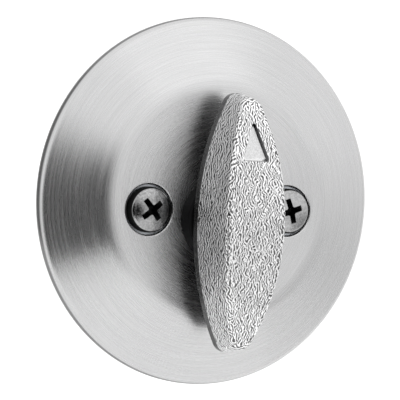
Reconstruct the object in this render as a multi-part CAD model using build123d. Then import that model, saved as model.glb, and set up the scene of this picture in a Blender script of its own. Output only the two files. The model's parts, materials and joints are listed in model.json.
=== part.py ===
"""Inside trim of a one-sided deadbolt: rose, thumb-turn and the mechanism behind them.

Frame, in millimetres: the origin is on the turn's spindle axis, in the plane of the door's
face. -Y points into the room, +Y into the door, +Z up, and +X to the right as seen from the
room. Heights above the door's face are distances towards the room, so a height h is at y = -h.
"""

import math
import os

from build123d import *

# Rose
ROSE_RADIUS = 33.35  # 2 5/8 in across
ROSE_CENTRE_Z = 3.2  # the rose sits off the spindle axis
ROSE_HEIGHT = 6.0
ROSE_SHEET = 1.0
ROSE_PLATEAU_RADIUS = 21.5
ROSE_SLOPE = 21.5  # degrees, of the outer cone to the door's face
ROSE_SHOULDER_FILLET = 8.0
ROSE_RIM_FILLET = 1.45
SCREW_OPENING_RADIUS = 4.5
SCREW_OPENING_LIP = 0.4

# Mounting screws, #8-32 pan head
SCREW_SPACING = 28.0
SCREW_Z = 1.7
SCREW_HEAD_RADIUS = 4.1
SCREW_RIM_HEIGHT = 1.65
SCREW_HEAD_HEIGHT = 2.65
SCREW_SHANK_RADIUS = 2.0
SCREW_LENGTH = 38.1
SCREW_TIP_CHAMFER = 0.5
RECESS_TIP_RADIUS = 2.55
RECESS_WING_WIDTH = 1.1
RECESS_DEPTH = 1.8
RECESS_TURNS = {"left": 37.5, "right": 17.0}  # degrees, anticlockwise from upright

# Backing plate
PLATE_SHEET = 1.5
PLATE_GAP = 0.3
PLATE_HOLE_CLEARANCE = 0.1
PLATE_FILLET = 4.0
PLATE_FOOT_HEIGHT = 1.0
TAB_WIDTH = 3.0
TAB_INNER_RADIUS = 7.8
TAB_WINDOW_LENGTH = 4.2

# Thumb-turn
TURN_HALF_LENGTH = 23.15
TURN_HALF_WIDTH = 7.1
TURN_TOP_HALF_LENGTH = 21.5
TURN_TOP_HALF_WIDTH = 5.8
TURN_END_RADIUS = 2.4
TURN_BACK = 9.6
TURN_WAIST = 11.4
TURN_HEIGHT = 20.5
TURN_CROWN_RADIUS = 61.0
TURN_CENTRE_Z = -0.33  # the grip sits a little below the spindle axis
TURN_LEAN = 1.0  # degrees, of the grip to the stem, with its top to the right
TURN_EDGE_FILLET = 0.8
TURN_BACK_FILLET = 0.4
MARK_BASE_Z = 11.15
MARK_APEX_Z = 18.7
MARK_HALF_BASE = 2.65
MARK_CORNER_RADIUS = 0.45
MARK_DEPTH = 1.2

# Stem
STEM_RADIUS = 5.5
STEM_SQUARE = 8.0
STEM_CORNER_RADIUS = 5.3
STEM_SQUARE_START = -2.55
STEM_END = 7.6
STEM_GROOVE_RADIUS = 4.5
RUNNING_GAP = 0.05
KEY_GAP = 0.05

# Collar
COLLAR_RADIUS = 7.6
COLLAR_FRONT = 9.3
COLLAR_BARREL_RADIUS = 6.8
COLLAR_LIP_RADIUS = 7.15
COLLAR_REAR = 2.8
COLLAR_SLIT = 1.0

# Stack on the stem, as y where each piece starts, and its thickness
STOP_CAM_Y = -2.5
STOP_CAM_THICKNESS = 1.5
STOP_CAM_RADIUS = 9.6
STOP_CAM_NOTCH_RADIUS = 7.3
STOP_GAP = 0.3
DETENT_CAM_THICKNESS = 3.0
DETENT_CAM_SIDE = 15.0
DETENT_CAM_CORNER = 3.0
THRUST_WASHER_THICKNESS = 0.8
THRUST_WASHER_RADIUS = 9.0
WASHER_BORE_RADIUS = 5.6
CURVED_WASHER_RADIUS = 8.2
CURVED_WASHER_SHEET = 0.4
CURVED_WASHER_RISE = 0.8
RING_THICKNESS = 0.8
RING_RADIUS = 6.6
RING_BORE_RADIUS = 4.6
RING_EAR_RADIUS = 1.6
RING_EAR_HOLE_RADIUS = 0.65
RING_GAP_ANGLE = 46.0
STACK_GAP = 0.02

# Detent springs and their posts
SPRING_SHEET = 0.4
SPRING_WIDTH = 2.6
SPRING_GAP = 0.1
POST_RADIUS = 1.2
POST_SHANK_RADIUS = 1.0
POST_HEAD_RADIUS = 2.0
POST_HEAD_THICKNESS = 0.6
POST_Z = 11.3
POST_GAP = 0.1
CURL_OPENING = 80.0  # degrees of the curl that are left open

# Torque blade and its pin
BLADE_RADIUS = 3.0
BLADE_FLAT_X = -0.4
BLADE_FRONT = -3.3
BLADE_TIP = 52.0
BLADE_TIP_CHAMFER = 0.8
BLADE_SCORES = (31.0, 37.0, 43.0)
BLADE_SCORE_DEPTH = 0.5
SOCKET_DEPTH_Y = -3.5
PIN_RADIUS = 0.8
PIN_BORE_RADIUS = 0.45
PIN_SLOT = 0.35
PIN_Y = 6.2

# Screw keepers
KEEPER_RADIUS = 4.0
KEEPER_THICKNESS = 1.0
KEEPER_BORE_GAP = 0.1

# Anchor plate
ANCHOR_Y = 27.0
ANCHOR_THICKNESS = 2.5
ANCHOR_HALF_LENGTH = 20.0
ANCHOR_HALF_HEIGHT = 8.0
ANCHOR_BOSS_RADIUS = 3.8
ANCHOR_BOSS_HEIGHT = 1.6
ANCHOR_THREAD_RADIUS = 2.1
ANCHOR_HOLE_RADIUS = 6.0
ANCHOR_RIB = 1.2

# Values that follow from those above
SLOPE_TAN = math.tan(math.radians(ROSE_SLOPE))
SLOPE_COS = math.cos(math.radians(ROSE_SLOPE))
PLATE_FRONT = ROSE_HEIGHT - ROSE_SHEET - 0.05
PLATE_REAR = PLATE_FRONT - PLATE_SHEET
BARREL_HOLE_RADIUS = COLLAR_BARREL_RADIUS + PLATE_HOLE_CLEARANCE
DETENT_CAM_Y = STOP_CAM_Y + STOP_CAM_THICKNESS
THRUST_WASHER_Y = DETENT_CAM_Y + DETENT_CAM_THICKNESS
CURVED_WASHER_Y = THRUST_WASHER_Y + THRUST_WASHER_THICKNESS + STACK_GAP
RING_Y = CURVED_WASHER_Y + CURVED_WASHER_SHEET + CURVED_WASHER_RISE + STACK_GAP
SPRING_INNER_X = DETENT_CAM_SIDE / 2 + SPRING_GAP
CURL_INNER = POST_RADIUS + POST_GAP
CURL_OUTER = CURL_INNER + SPRING_SHEET
POST_X = SPRING_INNER_X + CURL_OUTER
SPRING_Y = DETENT_CAM_Y + (DETENT_CAM_THICKNESS - SPRING_WIDTH) / 2
POST_HEAD_Y = DETENT_CAM_Y + DETENT_CAM_THICKNESS
SCREW_TIP = SCREW_LENGTH - (ROSE_HEIGHT - ROSE_SHEET)
SIDES = {"left": -1, "right": 1}
LEVELS = {"upper": 1, "lower": -1}


def along_y(sketch, start, end):
    """A sketch drawn with x to the right and z up, made solid from y = start to y = end."""
    return Pos(0, end, 0) * Rot(90, 0, 0) * extrude(sketch, end - start)


def rod(radius, start, end, x=0.0, z=0.0):
    """A round bar along Y."""
    return along_y(Pos(x, z) * Circle(radius), start, end)


def spun(face, x=0.0, z=0.0):
    """A profile drawn as (radius, height above the door's face), turned about the Y axis."""
    solid = revolve(face, Axis.Y)
    return Pos(x, 0, z) * mirror(solid, Plane.XZ)


def profile(points, radii):
    """A closed profile with the corners named in radii rounded: {corner number: radius}."""
    face = make_face(Polyline(*points, close=True))
    for number, radius in radii.items():
        corner = face.vertices().sort_by_distance(Vector(*points[number], 0))[0]
        face = fillet(corner, radius)
    return face


def cone_height(radius, inset):
    """Height of the rose's cone at a radius, moved inwards by inset square to its face."""
    drop = (radius - ROSE_PLATEAU_RADIUS) * SLOPE_TAN
    return ROSE_HEIGHT - inset / SLOPE_COS - drop


def cone_radius(height, inset):
    """Radius at which the rose's cone, moved inwards by inset, is at a height."""
    return ROSE_PLATEAU_RADIUS + (ROSE_HEIGHT - inset / SLOPE_COS - height) / SLOPE_TAN


def screw_places():
    """The two screw axes, as {side: x}."""
    return {side: sign * SCREW_SPACING / 2 for side, sign in SIDES.items()}


def square_hole():
    """The hole that keys a cam to the stem."""
    side = STEM_SQUARE + 2 * KEY_GAP
    return Rectangle(side, side) & Circle(STEM_CORNER_RADIUS + KEY_GAP)


def make_rose():
    inner_rim = ROSE_RADIUS - ROSE_SHEET
    inner_top = ROSE_HEIGHT - ROSE_SHEET
    points = [
        (0, ROSE_HEIGHT),
        (ROSE_PLATEAU_RADIUS, ROSE_HEIGHT),
        (ROSE_RADIUS, cone_height(ROSE_RADIUS, 0)),
        (ROSE_RADIUS, 0),
        (inner_rim, 0),
        (inner_rim, cone_height(inner_rim, ROSE_SHEET)),
        (cone_radius(inner_top, ROSE_SHEET), inner_top),
        (0, inner_top),
    ]
    inner_shoulder = ROSE_SHOULDER_FILLET - ROSE_SHEET
    radii = {1: ROSE_SHOULDER_FILLET, 2: ROSE_RIM_FILLET, 6: inner_shoulder}
    rose = spun(profile(points, radii), z=ROSE_CENTRE_Z)
    rose -= rod(BARREL_HOLE_RADIUS, -ROSE_HEIGHT - 1, 0)
    for x in screw_places().values():
        rose -= rod(SCREW_OPENING_RADIUS, -ROSE_HEIGHT - 1, 0, x, SCREW_Z)
    front = rose.edges().filter_by(GeomType.CIRCLE).group_by(Axis.Y)[0]
    lips = [edge for edge in front if abs(edge.radius - SCREW_OPENING_RADIUS) < 0.01]
    return fillet(lips, SCREW_OPENING_LIP)


def make_backing_plate():
    inset = ROSE_SHEET + PLATE_GAP
    inner = inset + PLATE_SHEET
    foot = cone_radius(PLATE_FOOT_HEIGHT, inset)
    points = [
        (0, PLATE_FRONT),
        (cone_radius(PLATE_FRONT, inset), PLATE_FRONT),
        (foot, PLATE_FOOT_HEIGHT),
        (foot, 0),
        (cone_radius(0, inner), 0),
        (cone_radius(PLATE_REAR, inner), PLATE_REAR),
        (0, PLATE_REAR),
    ]
    radii = {1: PLATE_FILLET, 5: PLATE_FILLET - PLATE_SHEET}
    plate = spun(profile(points, radii), z=ROSE_CENTRE_Z)
    plate -= rod(BARREL_HOLE_RADIUS, -ROSE_HEIGHT, 0)
    for x in screw_places().values():
        plate -= rod(SCREW_SHANK_RADIUS + 0.25, -ROSE_HEIGHT, 0, x, SCREW_Z)
    for x in (-POST_X, POST_X):
        for z in (-POST_Z, POST_Z):
            plate -= rod(POST_SHANK_RADIUS + KEY_GAP, -ROSE_HEIGHT, 0, x, z)
    tab_outer = TAB_INNER_RADIUS + PLATE_SHEET
    window_z = -tab_outer - TAB_WINDOW_LENGTH / 2
    window = Pos(0, window_z) * RectangleRounded(TAB_WIDTH + 0.8, TAB_WINDOW_LENGTH, 0.6)
    plate -= along_y(window, -ROSE_HEIGHT, 0)
    tab = Pos(0, -tab_outer + PLATE_SHEET / 2) * Rectangle(TAB_WIDTH, PLATE_SHEET)
    tab_end = DETENT_CAM_Y - STOP_GAP
    return plate + along_y(tab, -PLATE_FRONT + PLATE_SHEET / 2, tab_end)


def turn_outline(half_length, half_width, y):
    """The turn's outline at a given y: two long side arcs joined by two tight end arcs."""
    reach = half_length - TURN_END_RADIUS
    side_radius = (reach**2 + half_width**2 - TURN_END_RADIUS**2) / (2 * (half_width - TURN_END_RADIUS))
    angle = math.asin(reach / (side_radius - TURN_END_RADIUS))
    join_z = side_radius * math.sin(angle)
    join_x = side_radius * math.cos(angle) - (side_radius - half_width)
    outline = ThreePointArc((join_z, join_x), (half_length, 0), (join_z, -join_x))
    outline += ThreePointArc((join_z, -join_x), (0, -half_width), (-join_z, -join_x))
    outline += ThreePointArc((-join_z, -join_x), (-half_length, 0), (-join_z, join_x))
    outline += ThreePointArc((-join_z, join_x), (0, half_width), (join_z, join_x))
    plane = Plane(origin=(0, y, 0), x_dir=(0, 0, 1), z_dir=(0, -1, 0))
    return plane * make_face(outline)


def crown(radius_inset):
    """A roll across the turn, whose front is the turn's crowned face moved in by radius_inset."""
    radius = TURN_CROWN_RADIUS - radius_inset
    roll = Rot(0, 90, 0) * Cylinder(radius, 4 * TURN_HALF_WIDTH)
    return Pos(0, TURN_CROWN_RADIUS - TURN_HEIGHT, 0) * roll


def make_turn_body():
    """The oval grip: a low straight skirt, drafted flanks and a crowned face."""
    top = TURN_HEIGHT + 0.1
    waist = turn_outline(TURN_HALF_LENGTH, TURN_HALF_WIDTH, -TURN_WAIST)
    crest = turn_outline(TURN_TOP_HALF_LENGTH, TURN_TOP_HALF_WIDTH, -top)
    flanks = loft([waist, crest]) & crown(0)
    crowned_face = flanks.faces().filter_by(GeomType.CYLINDER)[0]
    flanks = fillet(crowned_face.edges(), TURN_EDGE_FILLET)
    body = flanks + extrude(waist, TURN_WAIST - TURN_BACK, dir=(0, 1, 0))
    return fillet(body.edges().group_by(Axis.Y)[-1], TURN_BACK_FILLET)


def make_mark():
    """The triangular recess's cutter: its floor follows the crowned face."""
    corners = [(-MARK_HALF_BASE, MARK_BASE_Z), (MARK_HALF_BASE, MARK_BASE_Z), (0, MARK_APEX_Z)]
    triangle = make_face(Polyline(*corners, close=True))
    triangle = fillet(triangle.vertices(), MARK_CORNER_RADIUS)
    return along_y(triangle, -TURN_HEIGHT - 1, -TURN_WAIST) - crown(MARK_DEPTH)


def blade_section(gap):
    """The half-round section of the blade, grown by a gap for its socket."""
    radius = BLADE_RADIUS + gap
    keep = Pos(BLADE_FLAT_X - gap + radius, 0) * Rectangle(2 * radius, 2 * radius)
    return Circle(radius) & keep


def pin_hole():
    """The cutter for the pin's hole, which crosses the stem and the blade."""
    return Pos(0, PIN_Y, 0) * Rot(0, 90, 0) * Cylinder(PIN_RADIUS + KEY_GAP, 3 * STEM_RADIUS)


def make_stem():
    journal = rod(STEM_RADIUS, -TURN_BACK - 1, STEM_SQUARE_START)
    section = Rectangle(STEM_SQUARE, STEM_SQUARE) & Circle(STEM_CORNER_RADIUS)
    stem = journal + along_y(section, STEM_SQUARE_START, STEM_END)
    groove_end = RING_Y + RING_THICKNESS + 0.1
    core = rod(STEM_GROOVE_RADIUS, RING_Y - 1, groove_end + 1)
    stem -= rod(STEM_RADIUS + 1, RING_Y - 0.05, groove_end) - core
    stem -= along_y(blade_section(KEY_GAP), SOCKET_DEPTH_Y, STEM_END + 1)
    return stem - pin_hole()


def make_thumb_turn():
    grip = make_turn_body() - make_mark()
    return Pos(0, 0, TURN_CENTRE_Z) * Rot(0, TURN_LEAN, 0) * grip + make_stem()


def make_turn_collar():
    points = [
        (STEM_RADIUS + RUNNING_GAP, COLLAR_FRONT),
        (COLLAR_RADIUS, COLLAR_FRONT),
        (COLLAR_RADIUS, ROSE_HEIGHT + 0.02),
        (COLLAR_BARREL_RADIUS, ROSE_HEIGHT + 0.02),
        (COLLAR_BARREL_RADIUS, PLATE_REAR - 0.05),
        (COLLAR_LIP_RADIUS, PLATE_REAR - 0.05),
        (COLLAR_BARREL_RADIUS, COLLAR_REAR),
        (STEM_RADIUS + RUNNING_GAP, COLLAR_REAR),
    ]
    collar = spun(profile(points, {1: 0.5}))
    for width, height in ((COLLAR_SLIT, 4 * COLLAR_RADIUS), (4 * COLLAR_RADIUS, COLLAR_SLIT)):
        collar -= along_y(Rectangle(width, height), -ROSE_HEIGHT + 1, 0)
    return collar


def make_mounting_screw(side):
    x = screw_places()[side]
    base = ROSE_HEIGHT - ROSE_SHEET
    rise = SCREW_HEAD_HEIGHT - SCREW_RIM_HEIGHT
    outline = [
        Line((0, base), (SCREW_HEAD_RADIUS, base)),
        Line((SCREW_HEAD_RADIUS, base), (SCREW_HEAD_RADIUS, base + SCREW_RIM_HEIGHT)),
        ThreePointArc(
            (SCREW_HEAD_RADIUS, base + SCREW_RIM_HEIGHT),
            (SCREW_HEAD_RADIUS * 0.6, base + SCREW_RIM_HEIGHT + rise * 0.72),
            (0, base + SCREW_HEAD_HEIGHT),
        ),
        Line((0, base + SCREW_HEAD_HEIGHT), (0, base)),
    ]
    head = spun(make_face(outline), x, SCREW_Z)
    shank = rod(SCREW_SHANK_RADIUS, -base, SCREW_TIP, x, SCREW_Z)
    shank = chamfer(shank.edges().group_by(Axis.Y)[-1], SCREW_TIP_CHAMFER)
    wing = Rectangle(2 * RECESS_TIP_RADIUS, RECESS_WING_WIDTH)
    wings = wing + Rot(0, 0, 90) * wing
    cross = Pos(x, SCREW_Z) * Rot(0, 0, RECESS_TURNS[side]) * wings
    top = -base - SCREW_HEAD_HEIGHT
    return head + shank - along_y(cross, top - 1, top + RECESS_DEPTH)


def make_screw_keeper(side):
    x = screw_places()[side]
    start = -PLATE_REAR + 0.05
    end = start + KEEPER_THICKNESS
    ring = Circle(KEEPER_RADIUS) - Circle(SCREW_SHANK_RADIUS + KEEPER_BORE_GAP)
    return along_y(Pos(x, SCREW_Z) * ring, start, end)


def make_stop_cam():
    disc = Circle(STOP_CAM_RADIUS) - square_hole()
    wall = TAB_WIDTH / 2 + STOP_GAP
    reach = 2 * STOP_CAM_RADIUS
    quarter = Pos(reach / 2 - wall, wall - reach / 2) * Rectangle(reach, reach)
    disc -= quarter - Circle(STOP_CAM_NOTCH_RADIUS)
    return along_y(disc, STOP_CAM_Y, DETENT_CAM_Y)


def make_detent_cam():
    cam = RectangleRounded(DETENT_CAM_SIDE, DETENT_CAM_SIDE, DETENT_CAM_CORNER) - square_hole()
    return along_y(cam, DETENT_CAM_Y, THRUST_WASHER_Y)


def make_thrust_washer():
    washer = Circle(THRUST_WASHER_RADIUS) - Circle(WASHER_BORE_RADIUS)
    return along_y(washer, THRUST_WASHER_Y, THRUST_WASHER_Y + THRUST_WASHER_THICKNESS)


def make_curved_washer():
    bow = (CURVED_WASHER_RADIUS**2) / (2 * CURVED_WASHER_RISE)
    roll = Rot(0, 90, 0) * Cylinder(bow, 4 * CURVED_WASHER_RADIUS)
    roll -= Rot(0, 90, 0) * Cylinder(bow - CURVED_WASHER_SHEET, 4 * CURVED_WASHER_RADIUS)
    ring = along_y(
        Circle(CURVED_WASHER_RADIUS) - Circle(WASHER_BORE_RADIUS),
        CURVED_WASHER_Y - 1,
        RING_Y + 1,
    )
    return ring & Pos(0, CURVED_WASHER_Y + bow, 0) * roll


def make_retaining_ring():
    ring = Circle(RING_RADIUS) - Circle(RING_BORE_RADIUS)
    reach = 2 * RING_RADIUS
    half = math.radians(RING_GAP_ANGLE / 2)
    gap = make_face(
        Polyline(
            (0, 0),
            (-reach * math.sin(half), -reach * math.cos(half)),
            (reach * math.sin(half), -reach * math.cos(half)),
            close=True,
        )
    )
    ring -= gap
    ear_at = RING_RADIUS - 0.2
    ear_angle = half + RING_EAR_RADIUS / ear_at
    for sign in SIDES.values():
        place = Pos(sign * ear_at * math.sin(ear_angle), -ear_at * math.cos(ear_angle))
        ring += place * Circle(RING_EAR_RADIUS)
        ring -= place * Circle(RING_EAR_HOLE_RADIUS)
    ring -= Circle(RING_BORE_RADIUS)
    return along_y(ring, RING_Y, RING_Y + RING_THICKNESS)


def make_detent_spring(side):
    strip = Pos(SPRING_INNER_X + SPRING_SHEET / 2, 0) * Rectangle(SPRING_SHEET, 2 * POST_Z)
    for sign in LEVELS.values():
        curl = Circle(CURL_OUTER) - Circle(CURL_INNER)
        reach = 3 * CURL_OUTER
        start = math.radians(180 - CURL_OPENING)
        opening = make_face(
            Polyline(
                (0, 0),
                (-reach, 0),
                (reach * math.cos(start), -reach * math.sin(start)),
                close=True,
            )
        )
        curl -= opening
        if sign < 0:
            curl = mirror(curl, Plane.XZ)
        strip += Pos(POST_X, sign * POST_Z) * curl
    spring = along_y(strip, SPRING_Y, SPRING_Y + SPRING_WIDTH)
    return spring if SIDES[side] > 0 else mirror(spring, Plane.YZ)


def make_spring_post(x, z):
    post = rod(POST_SHANK_RADIUS, -PLATE_FRONT, -PLATE_REAR, x, z)
    post += rod(POST_RADIUS, -PLATE_REAR, POST_HEAD_Y, x, z)
    head = rod(POST_HEAD_RADIUS, POST_HEAD_Y, POST_HEAD_Y + POST_HEAD_THICKNESS, x, z)
    return post + fillet(head.edges().group_by(Axis.Y)[-1], 0.3)


def make_torque_blade():
    blade = along_y(blade_section(0), BLADE_FRONT, BLADE_TIP)
    blade = chamfer(blade.edges().group_by(Axis.Y)[-1], BLADE_TIP_CHAMFER)
    notch = Rot(0, 0, 45) * Box(BLADE_SCORE_DEPTH, BLADE_SCORE_DEPTH, 3 * BLADE_RADIUS)
    for y in BLADE_SCORES:
        blade -= Pos(BLADE_FLAT_X, y, 0) * notch
    return blade - pin_hole()


def make_blade_pin():
    section = Circle(PIN_RADIUS) - Circle(PIN_BORE_RADIUS)
    section -= Pos(PIN_RADIUS, 0) * Rectangle(2 * PIN_RADIUS, PIN_SLOT)
    pin = extrude(section, STEM_SQUARE / 2 - 0.05, both=True)
    return Pos(0, PIN_Y, 0) * Rot(0, 90, 0) * pin


def make_anchor_plate():
    plate = SlotOverall(2 * ANCHOR_HALF_LENGTH, 2 * ANCHOR_HALF_HEIGHT)
    end = ANCHOR_Y + ANCHOR_THICKNESS
    anchor = along_y(Pos(0, SCREW_Z / 2) * plate, ANCHOR_Y, end)
    anchor = chamfer(anchor.edges().group_by(Axis.Y)[-1], 0.4)
    for x in screw_places().values():
        anchor += rod(ANCHOR_BOSS_RADIUS, ANCHOR_Y - ANCHOR_BOSS_HEIGHT, end, x, SCREW_Z)
    for x in screw_places().values():
        anchor -= rod(ANCHOR_THREAD_RADIUS, 0, end + 1, x, SCREW_Z)
    collar = Circle(ANCHOR_HOLE_RADIUS + ANCHOR_RIB)
    anchor += along_y(collar, ANCHOR_Y - ANCHOR_RIB, end)
    return anchor - rod(ANCHOR_HOLE_RADIUS, 0, end + 1)


def all_pieces():
    """Every piece, as {node name: solid}."""
    pieces = {
        "rose": make_rose(),
        "backing_plate": make_backing_plate(),
        "turn_collar": make_turn_collar(),
        "anchor_plate": make_anchor_plate(),
        "thumb_turn": make_thumb_turn(),
        "stop_cam": make_stop_cam(),
        "detent_cam": make_detent_cam(),
        "thrust_washer": make_thrust_washer(),
        "curved_washer": make_curved_washer(),
        "retaining_ring": make_retaining_ring(),
        "torque_blade": make_torque_blade(),
        "blade_pin": make_blade_pin(),
    }
    for side, sign in SIDES.items():
        pieces[f"mounting_screw_{side}"] = make_mounting_screw(side)
        pieces[f"screw_keeper_{side}"] = make_screw_keeper(side)
        pieces[f"detent_spring_{side}"] = make_detent_spring(side)
        for level, up in LEVELS.items():
            pieces[f"spring_post_{level}_{side}"] = make_spring_post(sign * POST_X, up * POST_Z)
    return pieces


os.makedirs("parts", exist_ok=True)
for node, solid in all_pieces().items():
    export_step(solid, f"parts/{node}.step")
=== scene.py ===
"""Looks for the inside trim of a one-sided deadbolt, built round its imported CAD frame.

Places are worked out from the frame. Sizes are in millimetres and angles in degrees unless a
comment says otherwise, and MM turns a size into metres as a mesh is made. The axes are the
row's: the spindle runs along Y through the origin, -Y points into the room and +Z up. A height
is a distance from the door's face into the room, so a height h is at y = -h.
"""

import json
import math

import bmesh
import bpy
import numpy as np
from mathutils import Matrix, Vector


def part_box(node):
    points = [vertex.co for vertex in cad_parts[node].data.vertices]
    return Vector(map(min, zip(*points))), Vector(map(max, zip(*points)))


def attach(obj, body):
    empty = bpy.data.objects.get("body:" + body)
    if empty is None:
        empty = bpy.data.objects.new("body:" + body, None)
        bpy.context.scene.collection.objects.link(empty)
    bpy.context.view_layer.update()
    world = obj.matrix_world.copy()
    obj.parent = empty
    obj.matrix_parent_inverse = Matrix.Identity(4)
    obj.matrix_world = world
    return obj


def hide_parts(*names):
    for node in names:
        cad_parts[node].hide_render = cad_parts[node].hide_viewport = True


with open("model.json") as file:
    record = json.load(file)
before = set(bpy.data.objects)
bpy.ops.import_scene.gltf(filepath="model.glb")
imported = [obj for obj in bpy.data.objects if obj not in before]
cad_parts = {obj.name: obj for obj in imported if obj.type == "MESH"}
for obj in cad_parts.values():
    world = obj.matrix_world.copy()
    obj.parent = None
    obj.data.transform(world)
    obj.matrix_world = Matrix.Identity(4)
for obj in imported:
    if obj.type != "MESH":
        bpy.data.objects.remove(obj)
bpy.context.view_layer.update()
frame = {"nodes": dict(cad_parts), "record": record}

MM = 0.001


def box_mm(node):
    """A CAD node's lowest and highest corners, in millimetres."""
    lo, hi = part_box(node)
    return lo / MM, hi / MM


SLOT_OF = {part["node"]: part["material_slot"] for part in frame["record"]["subparts"]}
BODIES = frame["record"]["behaviour"]["bodies"]
BODY_OF = {node: body for body, nodes in BODIES.items() for node in nodes}
REPLACED = ("rose", "thumb_turn", "mounting_screw_left", "mounting_screw_right")

ROSE_LO, ROSE_HI = box_mm("rose")
ROSE_RADIUS = (ROSE_HI.x - ROSE_LO.x) / 2
ROSE_Z = (ROSE_HI.z + ROSE_LO.z) / 2
ROSE_HEIGHT = -ROSE_LO.y
TURN_LO, TURN_HI = box_mm("thumb_turn")
RING_LO, RING_HI = box_mm("retaining_ring")
SCREW_BOXES = {side: box_mm(f"mounting_screw_{side}") for side in ("left", "right")}

# Rose
SHEET = 1.0
PLATEAU_RADIUS = 21.5
SLOPE = math.radians(21.5)
SHOULDER_RADIUS = 8.0
RIM_RADIUS, RIM_INNER_RADIUS, RIM_EDGE_RADIUS = 1.45, 0.3, 0.12
FRONT_MARGIN, BACK_MARGIN = 0.2, 0.4  # flat stretches kept inside the shoulder
SCREW_OPENING_RADIUS, SCREW_OPENING_LIP = 4.5, 0.4
BARREL_HOLE_RADIUS, BARREL_HOLE_LIP = 6.9, 0.15
HOLE_BACK_LIP = 0.1
RIM_SHADE_EDGE = (0.3, 0.1)  # distances from the edge between which painted shade darkens the rim

# Thumb-turn
TURN_HEIGHT = -TURN_LO.y
TURN_TOP = TURN_HEIGHT + 0.1
TURN_WAIST = 11.4
TURN_BACK = 9.6
TURN_HALF_LENGTH, TURN_HALF_WIDTH = 23.15, 7.1
TURN_TOP_HALF_LENGTH, TURN_TOP_HALF_WIDTH = 21.5, 5.8
TURN_END_RADIUS = 2.4
TURN_CENTRE_Z, TURN_LEAN = -0.33, 1.0
CROWN_RADIUS = 61.0
RIDGE_REACH = 0.65
BACK_RADIUS = 0.4
SKIRT_HEIGHTS = (10.4, 10.9, TURN_WAIST - 0.12)  # its rings between the back edge and the waist
MIDDLE_LINE = 0.8  # length of the line that the front's rings shrink to, as a share of theirs

# The triangular recess in the turn, called its mark
MARK_BASE_Z, MARK_APEX_Z, MARK_HALF_BASE = 11.15, 18.7, 2.65
MARK_CORNER, MARK_DEPTH = 0.45, 1.05
MARK_SHADE = (0.12, 0.97)  # depths between which its walls get painted shade
MARK_FLOOR_SHARE = 0.93  # size of its floor, as a share of its mouth
MARK_MARGIN, MARK_SLACK = 0.1, 0.02  # beside it and in depth, when its vertices are picked out

# The turn's casting grain
GRAIN_DEPTH = 0.05
GRAIN_LEVELS = (-0.9, 0.2)  # values of its field at the bottom of a groove and on a ridge
FLANK_GRAIN, FRONT_GRAIN = (0.62, 0.54), (0.47, 0.4)  # wavelengths along and across the grain
FLANK_GRAIN_STRENGTH = 1.8
FLANK_SEED, FRONT_SEED = 3, 8
GRAIN_BLEND = (-2, 7)  # first ring, from the flat front, and rings until the front's grain
GRAIN_WAVES = 48
WAVE_ANGLES = (0.26, 0.48)  # the first wave's angle and the range of angles, in half turns
WAVE_SCALES = (0.7, 1.4)
SWAY_LENGTHS, SWAY_SHARE = (2.9, 1.7), 0.05
SWAY_CURL, SWAY_RATES = 2.0, (0.7, 0.8)  # how far and how fast the sway itself bends
PAINTED_SHADE, PLAIN, PEBBLED = -1.0, 0.0, 1.0  # values of the vertex attribute for painted shade, plain metal and pebbled grain

# Stem behind the turn
STEM_RADIUS = 5.5
STEM_FRONT = TURN_BACK + 0.6
STEM_SQUARE, STEM_CORNER_RADIUS, STEM_SQUARE_EDGE = 8.0, 5.3, 0.25
STEM_SQUARE_Y = -2.55
STEM_GROOVE_RADIUS = 4.5
GROOVE_SLACK = (0.05, 0.1)  # before and behind the retaining ring
SOCKET_RADIUS, SOCKET_FLAT_X, SOCKET_Y = 3.05, -0.45, -3.5
PIN_HOLE_RADIUS, PIN_Y = 0.85, 6.2
PIN_CUTTER_REACH = STEM_RADIUS + 0.5
DRIVE_OVERLAP = 0.5  # of the squared part with the journal
CUTTER_PAST = 1.0  # how far a cutter starts outside what it cuts

# Screws
SCREW_HEAD_BASE = 5.0
SCREW_RIM_HEIGHT = 1.3
SCREW_DOME_RADIUS = 9.5
SCREW_ROUNDING, SCREW_EDGE = 0.9, 0.12
RECESS_TURNS = {"left": 37.5, "right": 17.0}
RECESS_TIP, RECESS_WIDTH, RECESS_DEPTH = 2.55, 1.1, 1.9
RECESS_SECTIONS = (  # depth, the wings' reach and width, and the reach of the web between them
    (-0.6, RECESS_TIP + 0.5, RECESS_WIDTH + 0.1, 0.86),
    (RECESS_DEPTH, 0.95, 0.7, 0.45),
)
WEB_ROUNDING = 0.72
THREAD_PITCH = 25.4 / 32
THREAD_MAJOR, THREAD_MINOR = 2.05, 1.62
THREAD_START = -1.5
THREAD_STEEPNESS, THREAD_ROOT = 1.25, 0.1  # of its profile, which is cut off flat at 0 and 1
POINT_CHAMFER = 0.35
SHANK_INSET = 0.05
RECESS_SHADE_DEPTHS = (0.02, 0.2)  # below the dome, between which painted shade starts in the recess
RECESS_SHADE_END = (0.1, 0.2)  # below the recess, between which the painted shade ends again
RECESS_SHADE_REACH = 1.15  # reach of the painted shade, as a share of the wings'
HEAD_SIDE = (0.91, 0.94)  # shares of the head's radius between which its side gets painted shade

# Clean-up of meshes: the edge width is that of the CAD nodes that keep their shape
FRAME_EDGE = 0.12
FRAME_WELD, GRIP_WELD = 0.002, 0.0005  # distances within which vertices become one

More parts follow.
